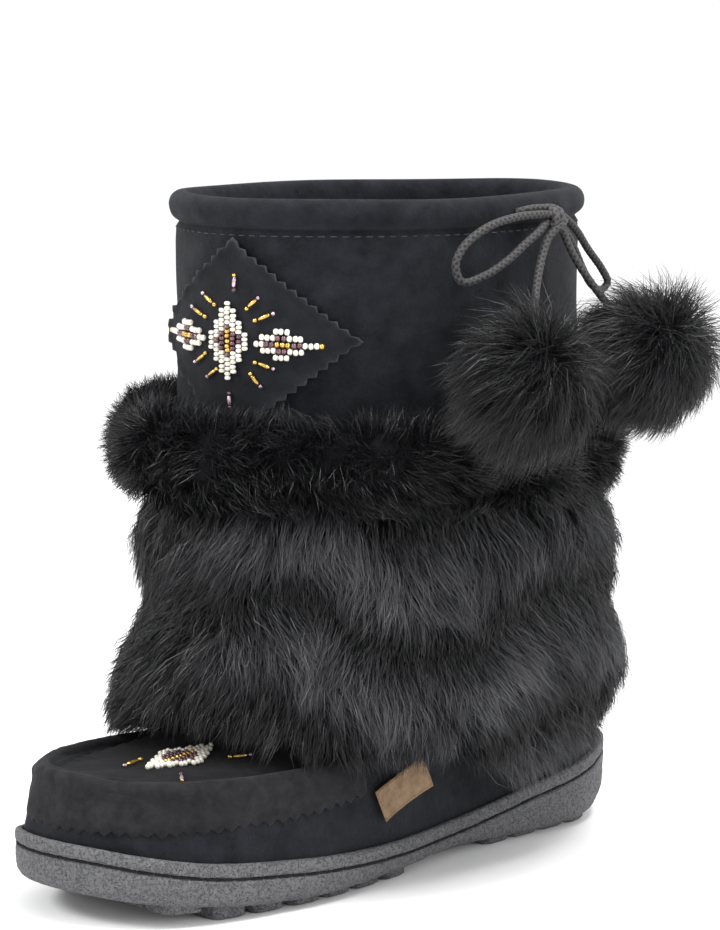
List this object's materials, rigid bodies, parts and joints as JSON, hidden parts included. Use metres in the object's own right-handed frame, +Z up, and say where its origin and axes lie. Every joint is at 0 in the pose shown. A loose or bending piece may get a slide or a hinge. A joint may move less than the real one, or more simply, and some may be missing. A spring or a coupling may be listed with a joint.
{
  "type": "mukluk boot",
  "caption": "Left mukluk boot with suede moccasin foot, fur pelt and fur roll round the leg, beaded diamond, drawcord bow with fur pompoms and a rubber cup sole.",
  "frame": {"origin": "centre of the bottom of the boot's bounding box on the floor, measured without the drawcord and its pompoms", "axes": "+Z up, +Y from the toe to the heel, +X to the outer side of this left foot"},
  "size_m": [0.2192, 0.28, 0.26],
  "materials": {
    "crepe_rubber": "matte grey rubber with a moulded crepe wrinkle",
    "fleece": "dark fleece foot bed",
    "suede": "near-black napped suede",
    "suede_band": "charcoal napped suede",
    "pelt": "glossy black fur",
    "tan_leather": "smooth tan leather",
    "cord": "round braided charcoal cord"
  },
  "bodies": {
    "root": {"outsole": "crepe_rubber", "insole": "fleece", "upper": "suede", "apron": "suede", "moc_band": "suede_band", "fur_leg": "pelt", "fur_trim": "pelt", "diamond_patch": "suede_band", "label": "tan_leather", "bow_knot": "cord", "drawcord_lead": "cord", "bow_loop_front": "cord", "bow_loop_rear": "cord", "bow_end_front": "cord", "bow_end_rear": "cord", "pompom_front": "pelt", "pompom_rear": "pelt"}
  },
  "joints": []
}
